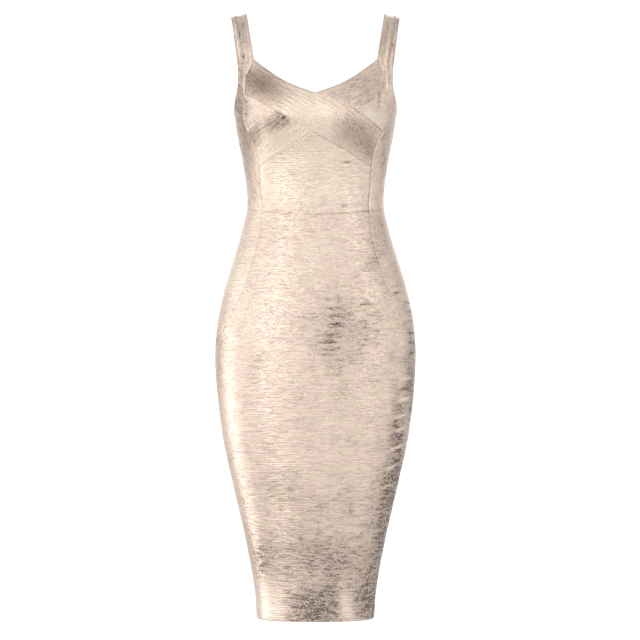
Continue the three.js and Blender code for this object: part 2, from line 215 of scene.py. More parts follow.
def fromX(rows, behind=False):
    return [(angleAt(x, z, behind), z) for x, z in rows]


def fromDegrees(rows):
    return [(math.radians(degrees), z) for degrees, z in rows]


# Close points on a smooth line through a few, between two of them.
def curved(points, first=0, last=None, each=24):
    line = []
    last = len(points) - 1 if last is None else last
    for n in range(first, last):
        before, after = points[max(n - 1, 0)], points[min(n + 2, len(points) - 1)]
        for step in range(each):
            t = step / each
            line.append(tuple(
                (2 * b - 2 * c + (c - a) / 2 + (d - b) / 2) * t ** 3
                + (3 * c - 3 * b - (c - a) - (d - b) / 2) * t ** 2
                + (c - a) / 2 * t + b
                for a, b, c, d in zip(before, points[n], points[n + 1], after)
            ))
    return line + [tuple(points[last])]


def lengthsAlong(line):
    total = [0.0]
    for (angleA, zA), (angleB, zB) in zip(line, line[1:]):
        total.append(total[-1] + math.hypot(knit["girth"] * (angleB - angleA), zB - zA))
    return total


# The points at given shares of a line's length.
def resampled(line, shares):
    total = lengthsAlong(line)
    if total[-1] < 1e-6:
        return [line[0]] * len(shares)
    points = []
    for share in shares:
        reach = share * total[-1]
        n = min(max(bisect.bisect_right(total, reach) - 1, 0), len(line) - 2)
        part = (reach - total[n]) / max(total[n + 1] - total[n], 1e-9)
        points.append((lerp(line[n][0], line[n + 1][0], part), lerp(line[n][1], line[n + 1][1], part)))
    return points


def mirrored(line):
    return [(-angle, z) for angle, z in line]


def levelLine(fromAngle, toAngle, zAt, count=120):
    angles = [lerp(fromAngle, toAngle, n / count) for n in range(count + 1)]
    return [(angle, zAt(angle)) for angle in angles]


waistAngle = math.radians(waistDegrees)
sideAngle = math.radians(90)
waistCorner = [(waistAngle, waistLevel(waistAngle))]
sideWaist = [(sideAngle, waistLevel(sideAngle))]
underarm = [(sideAngle, levels["underarm"])]
hipPoint = [(sideAngle, levels["hipPoint"])]
strapTip = fromX([(120.5, -139)])
tipInner = fromX([(118.5, -140)])
cupPoint = fromX([(66, -171)])
bustCentre = fromX([(0, -209)])
neckTop = fromX([(strapEdges["neck"]["front"], shoulder["frontBase"])])
ridgeTop = fromX([(strapEdges["ridge"]["front"], shoulder["frontBase"])])
outerTop = fromX([(strapEdges["armhole"]["front"], shoulder["frontBase"])])

# The seam from the strap down to the waist. Rows 4 and 8 are the feet of the cup and of the band.
princess = strapTip + fromX([
    (120.2, -153), (120.8, -172), (118.5, -189), (113, -203), (106.5, -214),
    (100.4, -228), (96, -245), (93.6, -263), (91.7, -297),
]) + waistCorner
cupBaseRow = 4
bandBaseRow = 8
cupBase = [princess[cupBaseRow]]
bandBase = [princess[bandBaseRow]]

neckPoints = fromX([(0, -142), (38, -128), (63, -114), (84, -98.5)]) + neckTop
hipPoints = waistCorner + fromDegrees([
    (54.8, -366), (55.5, -398), (57.3, -430), (60, -463), (64, -488), (67.5, -507), (73, -530), (80, -549),
]) + hipPoint
# Below this row the hip seam fades, and from the second one it shows again on the wearer's right.
hipFadeRow = 3
hipShowRow = 7
armholePoints = underarm + fromDegrees([(81, -160), (74, -147.5), (69, -134)]) + fromX([(130, -120)])
backArmPoints = underarm + fromDegrees([(98, -161), (105, -147), (109, -131)]) + fromX([(131, -110)], True)
backNeckPoints = fromX([(0, -180), (38, -173), (72, -153), (96, -128), (107, -110)], True)

# Every seam and edge of the wearer's left half, as close points.
seams = {
    "neck": curved(neckPoints),
    "wedge": curved(neckTop + fromX([(109, -97), (115.5, -113)]) + tipInner),
    "overTop": curved([neckPoints[0]] + cupPoint),
    "cupTop": curved(cupPoint + tipInner),
    "cupTopToTip": curved(cupPoint + tipInner) + strapTip,
    "cupLow": curved(cupPoint + cupBase),
    "crossing": curved(cupPoint + bustCentre),
    "bandLow": curved(bustCentre + bandBase),
    "cupSide": curved(princess, 0, cupBaseRow),
    "bandSide": curved(princess, cupBaseRow, bandBaseRow),
    "midriffSide": curved(princess, bandBaseRow),
    "belowCup": curved(princess, cupBaseRow),
    "hip": curved(hipPoints),
    "hipUpper": curved(hipPoints, 0, hipFadeRow),
    "hipLower": curved(hipPoints, hipFadeRow),
    "hipEnd": curved(hipPoints, hipShowRow),
    "bodiceSide": curved(underarm + sideWaist),
    "hipSide": curved(sideWaist + hipPoint),
    "skirtSide": curved(hipPoint + [(sideAngle, levels["hem"])]),
    "frontArmhole": curved(armholePoints),
    "strapFoot": curved([armholePoints[-1]] + outerTop),
    "ridgeFoot": curved(ridgeTop + strapTip),
    "baseInner": curved(neckTop + ridgeTop),
    "baseOuter": curved(ridgeTop + outerTop),
    "backArmhole": curved(backArmPoints),
    "backNeck": curved(backNeckPoints),
    "backBase": levelLine(
        angleAt(strapEdges["neck"]["back"], shoulder["backBase"], True),
        angleAt(strapEdges["armhole"]["back"], shoulder["backBase"], True),
        lambda angle: shoulder["backBase"],
    ),
    "waistFront": levelLine(-waistAngle, waistAngle, waistLevel),
    "waistHalf": levelLine(0, waistAngle, waistLevel),
    "waistSide": levelLine(waistAngle, sideAngle, waistLevel),
    "waistBack": levelLine(math.pi, sideAngle, waistLevel),
    "hemFront": levelLine(-sideAngle, sideAngle, lambda angle: levels["hem"]),
    "hemBack": levelLine(math.pi, sideAngle, lambda angle: levels["hem"]),
    "centreBodice": levelLine(0, 1, lambda share: lerp(levels["backNeck"], waistLevel(math.pi), share)),
    "centreSkirt": levelLine(0, 1, lambda share: lerp(waistLevel(math.pi), levels["hem"], share)),
}
for name in ("centreBodice", "centreSkirt"):
    seams[name] = [(math.pi, z) for share, z in seams[name]]

# How each kind of seam shapes the cloth beside it, in millimetres. Sink is how far the edge dips,
# over is how far the crossing band's own edge rises instead, turn is the width of a turned edge.
# Line is how dark the painted shade in the seam's groove is, from 0 to 1.
kindNames = ("sink", "width", "puff", "pucker", "over", "turn", "line")
seamKinds = {kind: dict(zip(kindNames, row)) for kind, row in {
    "sewn": (0.8, 1.5, 0.3, 0.32, 0, 0, 0.8),
    "fine": (0.45, 1.3, 0.12, 0.2, 0, 0, 0.55),
    "faint": (0.22, 1.2, 0.06, 0.12, 0, 0, 0.25),
    "lapped": (0.5, 1.6, 0.1, 0.2, 0.8, 0, 0.4),
    "hidden": (0.1, 1.2, 0, 0.05, 0, 0, 0.05),
    "raised": (-0.9, 1.9, -0.2, 0.15, 0, 0, 0),
    "turned": (0.5, 0.9, 0.05, 0.12, 0, 7, 0.95),
    "hem": (0.5, 0.9, 0.05, 0.06, 0, 22, 0.4),
}.items()}
# Which kind each line is, on the wearer's left and right. None where a side has no such seam.
seamPlan = [
    ("neck", "turned", "turned"), ("wedge", "hidden", "fine"), ("overTop", "lapped", None),
    ("cupTop", "hidden", "fine"), ("cupLow", "fine", "hidden"), ("crossing", None, "lapped"),
    ("bandLow", "fine", "hidden"), ("cupSide", "sewn", "raised"), ("belowCup", "sewn", "faint"),
    ("hipUpper", "fine", "faint"), ("hipLower", "hidden", "hidden"),
    ("hipEnd", None, "sewn"), ("bodiceSide", "sewn", "sewn"),
    ("hipSide", "sewn", "sewn"), ("skirtSide", "sewn", "sewn"), ("frontArmhole", "turned", "turned"),
    ("strapFoot", "turned", "turned"), ("ridgeFoot", "raised", "raised"), ("backArmhole", "turned", "turned"),
    ("backNeck", "turned", "turned"), ("backBase", "sewn", "sewn"), ("waistSide", "hidden", "hidden"),
    ("waistHalf", "fine", "hidden"), ("waistBack", "sewn", "sewn"), ("hemFront", "hem", None),
    ("hemBack", "hem", "hem"), ("centreBodice", "sewn", None), ("centreSkirt", "sewn", None),
]


# The points of all seams of one kind in space, so that cloth finds how near it is to them.
def plotSeams(wanted):
    spots = []
    for name, onLeft, onRight in seamPlan:
        for line, kind in ((seams[name], onLeft), (mirrored(seams[name]), onRight)):
            if kind == wanted:
                count = max(2, round(lengthsAlong(line)[-1]))
                shares = [n / count for n in range(count + 1)]
                spots += [bodyPoint(*spot) for spot in resampled(line, shares)]
    each = shoulder["spotsEachWay"]
    travels = [n / each for n in range(2 * each + 1)]
    for edge, kind in (("neck", "turned"), ("ridge", "raised"), ("armhole", "turned")):
        for side in (1, -1) if kind == wanted else ():
            spots += [strapPoint(side * strapEdgeAt(edge, travel), travel) for travel in travels]
    tree = kdtree.KDTree(len(spots))
    for n, point in enumerate(spots):
        tree.insert(point, n)
    tree.balance()
    return tree


seamTrees = {kind: plotSeams(kind) for kind in seamKinds}
print("seams plotted")

# Tables of rows under their names. Tilt is in degrees up from level towards +X.
def namedRows(names, table):
    rows = [dict(zip(names, row)) for row in table]
    for row in rows:
        tilt = math.radians(row["tilt"])
        row["way"] = Vector((math.cos(tilt), math.sin(tilt)))
    return rows


# Creases and tones fade towards the line between front and back, over these depths in millimetres.
sideFade = {"creases": 25, "tones": 8}

# The creases and drag lines, in front and behind.
creaseNames = ("x", "z", "tilt", "length", "width", "height")
creases = {"front": namedRows(creaseNames, [
    (127, -163, -40, 15, 2.4, -1.1),
    (121.5, -58, 80, 110, 1.1, 0.8),
    (112, -150, 88, 30, 1.3, 0.8),
    (107.5, -152, 88, 28, 1.2, -0.7),
    (-117, -160, 92, 34, 2.6, 0.8),
    (-108, -232, 118, 46, 3.2, -0.5),
    (-113, -216, 116, 34, 2.6, 0.45),
    (53, -256, 4, 18, 2.4, -0.7),
    (48, -328, -2, 17, 2.2, -0.6),
    (76, -250, -28, 30, 3.5, -0.5),
    (70, -236, -30, 34, 4.0, 0.45),
    (-70, -243, 27, 32, 4.0, 0.4),
    (84, -352, 8, 36, 3.5, -0.5),
    (72, -366, 5, 44, 4.0, 0.4),
    (-80, -360, -6, 38, 4.0, 0.35),
    (20, -455, 3, 60, 8.0, -0.6),
    (36, -520, 0, 56, 7.0, -0.55),
    (30, -556, -3, 50, 6.0, -0.6),
    (45, -588, 2, 54, 6.0, -0.5),
    (128, -640, 12, 34, 5.0, -0.7),
    (-131, -51, 100, 76, 1.3, 0.8),
    (149, -652, 14, 26, 3.0, 0.9),
    (141, -703, 26, 28, 3.0, 1.0),
    (129, -766, 24, 30, 3.0, 1.0),
    (124, -700, 16, 40, 6.0, -0.8),
    (112, -770, 14, 40, 6.0, -0.8),
    (100, -840, 10, 42, 6.0, -0.9),
    (84, -905, 6, 48, 6.5, -0.8),
    (10, -872, 2, 90, 6.0, -0.6),
    (-36, -905, -3, 80, 6.0, -0.5),
    (-10, -985, 6, 46, 12.0, -1.1),
    (62, -975, -10, 40, 9.0, 0.7),
]), "back": namedRows(creaseNames, [
    (92, -342, -9, 92, 7.0, -1.6),
    (70, -366, -6, 104, 8.0, -1.3),
    (-84, -336, 8, 84, 7.0, -1.5),
    (-66, -360, 5, 110, 8.0, -1.4),
    (34, -318, -3, 70, 7.0, -0.9),
    (-30, -386, 2, 88, 8.0, -0.9),
    (96, -392, -12, 66, 7.0, -0.8),
    (-104, -396, 12, 62, 7.0, -0.8),
    (-60, -300, 9, 60, 6.0, 0.6),
    (58, -292, -8, 64, 6.0, 0.6),
    (88, -214, 34, 44, 5.0, -0.7),
    (-90, -208, -32, 48, 5.0, -0.7),
    (70, -690, 10, 70, 8.0, -0.8),
    (-74, -676, -9, 66, 8.0, -0.8),
    (8, -700, 2, 90, 7.0, -0.6),
    (-80, -850, -8, 54, 7.0, -0.7),
    (62, -905, 5, 58, 7.0, -0.7),
    (0, -968, 3, 50, 10.0, -0.9),
])}


def creaseHeight(point):
    height = 0
    for crease in creases["back" if point.y > 0 else "front"]:
        offset = Vector((point.x - crease["x"], point.z - crease["z"]))
        if offset.length > crease["length"]:
            continue
        alongIt = offset.dot(crease["way"])
        acrossIt = offset.cross(crease["way"])
        height += crease["height"] * bell(alongIt, crease["length"] / 2) * bell(acrossIt, crease["width"])
    return height * smooth(abs(point.y), 0, sideFade["creases"])


# Soft unevenness of a stretched knit and the crinkle of its foil. Sizes are millimetres.
waveNames = ("rise", "wide", "tall", "shift", "alongGrain")
waveLayers = [dict(zip(waveNames, row)) for row in [
    (0.4, 95, 34, 3, False),
    (0.24, 24, 4.8, 11, True),
    (0.1, 9, 3.4, 29, True),
]]
# What the cloth does beside a seam, by its distance in millimetres. Line width is how wide the painted shade
# in a seam's groove spreads, and the ridge beside a sewn seam also gets a painted highlight.
surface = {
    "puckerSize": 7, "puckerReach": 9, "puckerFrom": 2.5, "puffAt": 5, "puffWidth": 2.8,
    "turnStep": 0.35, "turnSoft": 0.8, "allowanceSoft": 0.7, "seamReach": 20, "lineWidth": 1.1,
    "ridgeAt": 2.4, "ridgeWidth": 1.2, "wavesFrom": 0.5, "wavesFull": 4,
}


def waves(point, layer):
    wide = layer["wide"]
    place = Vector((point.x / wide + layer["shift"], point.y / wide, point.z / layer["tall"]))
    return layer["rise"] * noise.noise(place)


def grained(point, grain):
    turn = math.radians(grain)
    x = point.x * math.cos(turn) + point.z * math.sin(turn)
    return Vector((x, point.y, point.z * math.cos(turn) - point.x * math.sin(turn)))


# How far the cloth stands out from the plain section at a point, how dark the painted shade in a seam's
# groove is there, how far the cloth is doubled by an allowance, and how near it is to the ridge beside a sewn
# seam.
def relief(point, grain, lapsOver):
    height, line, doubled, nearest = 0, 0, 0, math.inf
    for name, kind in seamKinds.items():
        gap = seamTrees[name].find(point)[2]
        nearest = min(nearest, gap)
        if gap > surface["seamReach"] and gap > kind["turn"] + 2:
            continue
        edge = (kind["over"] if lapsOver else 0) - kind["sink"]
        height += edge * bell(gap, kind["width"])
        height += kind["puff"] * bell(gap - surface["puffAt"], surface["puffWidth"])
        pucker = noise.noise(point / surface["puckerSize"]) * bell(gap, surface["puckerReach"])
        height += kind["pucker"] * pucker * smooth(gap, 0, surface["puckerFrom"])
        turn, soft = kind["turn"], surface["turnSoft"]
        if turn:
            height += surface["turnStep"] * (1 - smooth(gap, turn - soft, turn + soft))
        width, soft = max(turn, knit["allowanceWidth"]), surface["allowanceSoft"]
        doubled = max(doubled, 1 - smooth(gap, width - soft, width + soft))
        line = max(line, kind["line"] * bell(gap, surface["lineWidth"]))
    turned = grained(point, grain)
    own = creaseHeight(point) + sum(waves(turned if w["alongGrain"] else point, w) for w in waveLayers)
    height += smooth(nearest, surface["wavesFrom"], surface["wavesFull"]) * own
    beside = bell(seamTrees["sewn"].find(point)[2] - surface["ridgeAt"], surface["ridgeWidth"])
    return height, line, doubled, beside


# Painted shade (above 0) and painted highlights (below 0) on the foil, where it reflects darker or paler,
# in front, behind and on single pieces seen in front. Even tones are smooth, brownish painted shade. Wide and
# tall are millimetres.
toneNames = ("x", "z", "wide", "tall", "tilt", "dark")
wornTones = {"front": namedRows(toneNames, [
    (-129, -50, 13, 70, 10, 0.55),
    (-134, -150, 14, 50, 0, 0.5),
    (107.5, -150, 15, 1.7, 88, 0.7),
    (112, -150, 15, 1.6, 88, -0.5),
    (124, -45, 12, 50, -10, 0.2),
    (33, -542, 36, 74, 0, 0.42),
    (104, -385, 16, 44, 0, 0.35),
    (92, -532, 28, 26, 0, 0.22),
    (165, -525, 9, 60, 0, 0.1),
    (160, -625, 12, 70, 0, 0.8),
    (140, -740, 15, 80, 0, 0.85),
    (130, -822, 12, 60, 0, 0.75),
    (112, -830, 28, 60, 0, 0.22),
    (120, -858, 18, 74, 0, 1.0),
    (100, -990, 26, 50, 0, 1.05),
    (-4, -1002, 50, 36, 0, 1.15),
    (10, -915, 140, 42, 0, 0.68),
    (152, -617, 9, 2.2, 6, -1.3),
    (150, -634, 8, 2.4, 10, 0.9),
    (149, -652, 10, 2.4, 14, -1.4),
    (143, -680, 12, 2.2, 18, -1.2),
    (141, -703, 9, 2.6, 26, -1.3),
    (139, -716, 10, 2.6, 22, 0.9),
    (136, -733, 13, 2.4, 20, -1.4),
    (129, -766, 12, 2.4, 24, -1.2),
    (126, -782, 11, 2.4, 20, 0.8),
    (124, -797, 13, 2.2, 16, -1.3),
    (117, -838, 14, 2.4, 14, -0.5),
    (110, -872, 15, 2.4, 8, -0.6),
    (121.5, -58, 50, 1.6, 80, -1.0),
    (125, -72, 26, 1.9, 80, 0.6),
    (-131, -51, 34, 1.7, 100, -0.9),
    (-135, -56, 34, 1.8, 100, 0.5),
    (8, -470, 8, 2.0, 0, 0.5),
    (24, -485, 14, 2.0, 3, 0.5),
    (28, -498, 16, 1.9, 4, 0.55),
    (37, -512, 13, 1.9, 6, 0.6),
    (34, -525, 14, 2.0, 0, 0.7),
    (24, -543, 17, 2.0, 0, 0.75),
    (24, -555, 19, 1.9, 0, 0.7),
    (23, -567, 18, 2.0, 1, 0.75),
    (21, -576, 20, 1.9, 0, 0.7),
    (41, -585, 9, 2.0, 3, 0.7),
    (76, -521, 7, 2.0, 8, 0.8),
    (78, -532, 7, 2.0, 4, 0.8),
    (81, -492, 10, 2.0, 12, 0.75),
    (138, -460, 8, 2.2, 14, 0.8),
    (137, -472, 8, 2.2, 10, 0.8),
    (157, -489, 6, 2.2, 0, 0.8),
    (160, -505, 6, 2.4, -8, 0.9),
    (162, -521, 7, 2.2, -6, 0.8),
    (163, -540, 6, 2.2, 0, 0.9),
    (164, -556, 7, 2.2, 0, 0.8),
    (164, -573, 7, 2.4, 4, 0.9),
    (-140, -440, 16, 50, 0, -0.4),
    (128, -372, 10, 34, 0, -0.4),
    (-6, -425, 44, 50, 0, -0.2),
    (92, -428, 16, 14, 0, 0.25),
    (134, -700, 8, 70, 0, 0.3),
    (135, -864, 8, 30, 0, 1.0),
    (34, -838, 40, 24, 0, 0.25),
    (28, -962, 18, 20, 0, 0.4),
    (-76, -780, 26, 44, 0, 0.22),
    (-92, -602, 24, 44, 0, 0.2),
    (112, -905, 12, 24, 0, 0.4),
    (-66, -1004, 16, 24, 0, -0.6),
    (78, -552, 24, 22, 0, 0.25),
    (30, -290, 60, 46, 0, -0.35),
    (-100, -460, 60, 170, 0, -0.12),
    (-122, -790, 12, 60, 0, 0.12),
    (-89, -922, 9, 40, 0, 0.55),
    (52, -994, 12, 24, 0, -0.8),
    (80, -988, 34, 34, 0, 0.5),
    (-50, -820, 60, 44, 0, 0.2),
    (108, -1002, 12, 26, 0, 0.8),
    (-84, -985, 24, 30, 0, -0.35),
    (76, -506, 50, 24, 0, 0.12),
]), "back": namedRows(toneNames, [
    (90, -250, 40, 36, 20, 0.45),
    (-20, -300, 60, 26, 0, 0.3),
    (-36, -560, 34, 90, 0, 0.5),
    (110, -620, 40, 110, 0, 0.35),
    (-118, -800, 26, 120, 0, 0.6),
    (30, -985, 50, 26, 0, 0.6),
    (60, -440, 60, 80, 0, -0.25),
    (40, -800, 50, 130, 0, -0.2),
]), "bandOver": namedRows(toneNames, [
    (-112, -114, 24, 24, 0, 0.3),
    (-78, -130, 46, 26, -38, 0.35),
    (54, -209, 30, 21, -38, 0.7),
    (84, -222, 20, 30, 20, 0.45),
    (-4, -180, 66, 27, -30, -0.8),
]), "bandUnderLower": namedRows(toneNames, [
    (-60, -190, 17, 14, 25, 0.95),
    (-62, -180, 4, 3, 0, 1.0),
    (-54, -181.5, 4, 3.5, -20, 0.9),
    (-45, -190, 3, 3.5, 0, 1.2),
    (-52, -195.5, 4.5, 2.5, 20, 1.0),
    (-95, -199, 30, 13, 33, 0.15),
    (-104, -222, 12, 34, 0, 0.35),
    (-45, -222, 48, 22, 33, -0.9),
]), "bandUnderUpper": namedRows(toneNames, [
    (92, -138, 44, 30, 30, 0.25),
]), "midriffFront": namedRows(toneNames, [
    (53, -256, 8, 1.7, 4, 1.3),
    (48, -328, 7, 1.6, -2, 1.1),
    (0, -232, 70, 18, 0, -0.5),
    (-80, -265, 50, 50, 0, -0.45),
]), "sideCupLeft": namedRows(toneNames, [
    (100, -184, 16, 12, -20, -0.9),
]), "sideCupRight": namedRows(toneNames, [
    (-115.5, -166, 24, 4, 90, 0.6),
    (-104, -192, 20, 6, 33, 0.35),
    (-90, -164, 20, 13, -20, 0.05),
]), "sideFrontLeft": namedRows(toneNames, [
    (118, -230, 14, 50, 0, 0.4),
]), "sideFrontRight": namedRows(toneNames, [
    (-117, -230, 15, 100, 0, 0.45),
])}
evenPaintedShade = {"front": namedRows(toneNames, [
    (-123, -115, 10, 34, 0, 0.5),
    (-131, -176, 10, 46, 0, 0.4),
    (122, -60, 12, 60, -10, 0.2),
    (168, -640, 6, 170, 0, 0.4),
    (-167, -590, 9, 90, 0, 0.8),
]), "bandOver": namedRows(toneNames, [
    (-95, -123, 30, 30, -20, 1.25),
    (-76, -138, 38, 20, -38, 0.85),
    (94, -236, 14, 30, 20, 0.6),
    (66, -212, 28, 22, -38, 0.3),
]), "bandUnderLower": namedRows(toneNames, [
    (-104, -208, 26, 15, 33, 0.9),
    (-106, -228, 14, 26, 0, 0.5),
]), "bandUnderUpper": namedRows(toneNames, [
    (88, -130, 44, 24, 30, 0.3),
]), "sideFrontRight": namedRows(toneNames, [
    (-117, -215, 16, 90, 0, 0.85),
])}


def toneAt(point, piece, table):
    dark = 0
    for place in ("back",) if point.y > 0 else ("front", piece):
        for tone in table.get(place, []):
            offset = Vector((point.x - tone["x"], point.z - tone["z"]))
            alongIt = offset.dot(tone["way"])
            acrossIt = offset.cross(tone["way"])
            if abs(alongIt) < 2 * tone["wide"] and abs(acrossIt) < 2 * tone["tall"]:
                dark += tone["dark"] * bell(alongIt, tone["wide"]) * bell(acrossIt, tone["tall"])
    return dark * smooth(abs(point.y), 0, sideFade["tones"])


# Shares from 0 to 1 along a length, closer together next to the ends that are sewn.
def spacing(length, step, fineStart=True, fineEnd=True):
    graded = []
    size = knit["atSeam"]
    while size < step and sum(graded) < length / 3:
        graded.append(size)
        size *= knit["grading"]
    head = graded if fineStart else []
    tail = graded[::-1] if fineEnd else []
    middle = max(length - sum(head) - sum(tail), size)
    count = max(1, math.ceil(middle / step))
    shares = [0.0]
    for size in head + [middle / count] * count + tail:
        shares.append(shares[-1] + size)
    return [share / shares[-1] for share in shares]


# Opposite edges of a panel, each a chain of matching stretches, cut into the same steps.
def stepped(pairs, step):
    one, other = [], []
    for n, (lineA, lineB) in enumerate(pairs):
        longer = max(lengthsAlong(lineA)[-1], lengthsAlong(lineB)[-1])
        shares = spacing(longer, step, n == 0, n == len(pairs) - 1)
        one += resampled(lineA, shares)[min(n, 1):]
        other += resampled(lineB, shares)[min(n, 1):]
    return one, other


def sharesOf(lineA, lineB):
    total = [a + b for a, b in zip(lengthsAlong(lineA), lengthsAlong(lineB))]
    return [reach / total[-1] for reach in total]


# Rows of spots between four edges. Top and bottom run the same way, and so do both sides.
def panel(acrossPairs, downPairs):
    top, bottom = stepped(acrossPairs, knit["across"])
    near, far = stepped(downPairs, knit["down"])
    rows = []
    for down, a, b in zip(sharesOf(near, far), near, far):
        row = []
        for over, c, d in zip(sharesOf(top, bottom), top, bottom):
            row.append(tuple(
                lerp(c[k], d[k], down) + lerp(a[k], b[k], over)
                - lerp(lerp(top[0][k], top[-1][k], over), lerp(bottom[0][k], bottom[-1][k], over), down)
                for k in (0, 1)
            ))
        rows.append(row)
    return rows


def bodyRows(acrossPairs, downPairs, side=1):
    rows = panel(acrossPairs, downPairs)
    return [[onBody((side * angle, z)) for angle, z in row] for row in rows]


# Rows across a strap from its back base over the shoulder to just above its front base.
def strapRows(inner, outer, shares, side):
    step = probe["travel"]
    rows = []
    for n in range(2 * shoulder["rowsEachWay"]):
        travel = 2 - n / shoulder["rowsEachWay"]
        spot = min(max(travel, step), 2 - step)
        edges = strapEdgeAt(inner, travel), strapEdgeAt(outer, travel)
        xs = [side * lerp(*edges, share) for share in shares]
        rows.append([withNormal(strapPoint, x, spot, probe["x"], step) for x in xs])
    base = shoulder["backBase"]
    xs = [lerp(strapEdges[inner]["back"], strapEdges[outer]["back"], share) for share in shares]
    rows[0] = [onBody((side * angleAt(x, base, True), base)) for x in xs]
    return rows


# The rows of a strip over the shoulder and on down the panel that it runs into.
def stripRows(inner, outer, across, down, side):
    shares = sharesOf(*stepped(across, knit["across"]))
    return strapRows(inner, outer, shares, side) + bodyRows(across, down, side)


# The widest row, the longest column and the area of a piece, in metres.
def measured(rows):
    lengths = []
    for lines in (rows, list(zip(*rows))):
        longest = max(sum((b[0] - a[0]).length for a, b in zip(line, line[1:])) for line in lines)
        lengths.append(longest * metre)
    area = 0
    for upper, lower in zip(rows, rows[1:]):
        for n in range(len(upper) - 1):
            area += (lower[n + 1][0] - upper[n][0]).cross(lower[n][0] - upper[n + 1][0]).length / 2
    return *lengths, area * metre ** 2


# A point of a piece, its edges drawn back by half a seam gap so that neighbours stay apart.
def drawnBack(rows, i, j):
    point, normal = rows[j][i]
    columns = len(rows[0]) - 1
    last = len(rows) - 1
    moved = point.copy()
    edges = (i == 0, j, 1), (i == columns, j, columns - 1), (j == 0, 1, i), (j == last, last - 1, i)
    for onEdge, innerRow, innerColumn in edges:
        inward = rows[innerRow][innerColumn][0] - point
        if onEdge and inward.length > knit["seamGap"]:
            moved += inward.normalized() * knit["seamGap"] / 2
    return moved, normal


# Makes one cut piece from rows of points and normals: a grid shaped row by row, given its wall. Its
# shade attribute holds the painted shade and painted highlights of the tone table, less a painted highlight
# on the ridge beside a sewn seam, and its groove attribute the painted shade in the seam grooves and the even
# painted shade.
def sewPiece(name, node, rows, look, outer):
    columns = len(rows[0]) - 1
    bpy.ops.object.select_all(action="DESELECT")
    bpy.ops.mesh.primitive_grid_add(x_subdivisions=columns, y_subdivisions=len(rows) - 1, size=2)
    piece = bpy.context.object
    piece.name = name
    mesh = piece.data
    mesh.name = name
    while mesh.uv_layers:
        mesh.uv_layers.remove(mesh.uv_layers[0])
    lapsOver = look.get("lapsOver", False)
    thick = knit["wall"] + knit["allowance"]
    last = len(rows) - 1
    places, shades, grooves, walls = [], [], [], []
    for corner in [vertex.co.copy() for vertex in mesh.vertices]:
        i = round((corner.x + 1) / 2 * columns)
        j = round((corner.y + 1) / 2 * last)
        point, normal = drawnBack(rows, i, j)
        height, line, doubled, beside = relief(point, look["grain"], lapsOver)
        ridge = beside * look.get("ridge", 0)
        places.extend((point + normal * (height + ridge)) * metre)
        # The tone table's painted shade and highlights, less a painted highlight on the ridge beside a sewn
        # seam.
        shades.append(toneAt(point, name, wornTones) - ridge)
        # Painted shade in the seam's groove, plus the even painted shade.
        grooves.append(line + toneAt(point, name, evenPaintedShade))
        walls.append(lerp(knit["wall"] / thick, 1, doubled))
    mesh.vertices.foreach_set("co", places)
    mesh.attributes.new("shade", "FLOAT", "POINT").data.foreach_set("value", shades)
    mesh.attributes.new("groove", "FLOAT", "POINT").data.foreach_set("value", grooves)
    group = piece.vertex_groups.new(name="wall")
    for index, share in enumerate(walls):
        group.add([index], share, "REPLACE")
    mesh.update()
    middle = mesh.polygons[len(mesh.polygons) // 2]
    spots = [pair for row in rows for pair in row]
    outward = min(spots, key=lambda pair: (pair[0] * metre - middle.center).length)[1]
    bpy.ops.object.mode_set(mode="EDIT")
    bpy.ops.mesh.select_all(action="SELECT")
    if middle.normal.dot(outward) < 0:
        bpy.ops.mesh.flip_normals()
    bpy.ops.mesh.remove_doubles(threshold=knit["weld"] * metre)
    bpy.ops.object.mode_set(mode="OBJECT")
    mesh.materials.append(outer)
    mesh.materials.append(reverse)
    wall = piece.modifiers.new("wall", "SOLIDIFY")
    wall.thickness = thick * metre
    wall.offset = -1
    wall.vertex_group = "wall"
    wall.material_offset = 1
    bpy.ops.object.modifier_apply(modifier=wall.name)
    bpy.ops.object.shade_smooth_by_angle(angle=math.radians(knit["smoothUpTo"]))
    wide, long, area = measured(rows)
    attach(piece, "root")
    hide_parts(node)
    print(f"{name}: {len(mesh.polygons)} faces, {wide:.3f} by {long:.3f} m, {area:.4f} square metres")
    return piece


# Links or sets a node's inputs, by their names or numbers.
def feed(tree, node, inputs):
    for key, value in inputs.items():
        if isinstance(value, bpy.types.NodeSocket):
            tree.links.new(value, node.inputs[key])
        else:
            node.inputs[key].default_value = value


def addNode(tree, kind, inputs, **settings):
    node = tree.nodes.new(kind)
    for key, value in settings.items():
        setattr(node, key, value)
    feed(tree, node, inputs)
    return node


def maths(tree, operation, *values, kind="ShaderNodeMath"):
    return addNode(tree, kind, dict(enumerate(values)), operation=operation).outputs[0]


def vectorMaths(tree, operation, *values):
    return maths(tree, operation, *values, kind="ShaderNodeVectorMath")


def noiseAt(tree, place, scale, detail, roughness=0.5):
    inputs = {"Vector": place, "Scale": scale, "Detail": detail, "Roughness": roughness}
    return addNode(tree, "ShaderNodeTexNoise", inputs).outputs["Fac"]


# The place turned about Y, so that level patterns run along a piece's grain.
def turnedPlace(tree, given):
    inputs = {"Vector": given["Vector"], "Angle": given["Grain"]}
    return addNode(tree, "ShaderNodeVectorRotate", inputs, rotation_type="Y_AXIS").outputs[0]


# A smooth run from one value to another, held at both ends.
def ranged(tree, value, fromLow, fromHigh, toLow=0.0, toHigh=1.0):
    inputs = dict(enumerate((value, fromLow, fromHigh, toLow, toHigh)))
    return addNode(tree, "ShaderNodeMapRange", inputs, interpolation_type="SMOOTHSTEP").outputs[0]


def blendColours(tree, factor, one, other):
    return addNode(tree, "ShaderNodeMix", {0: factor, 6: one, 7: other}, data_type="RGBA").outputs[2]


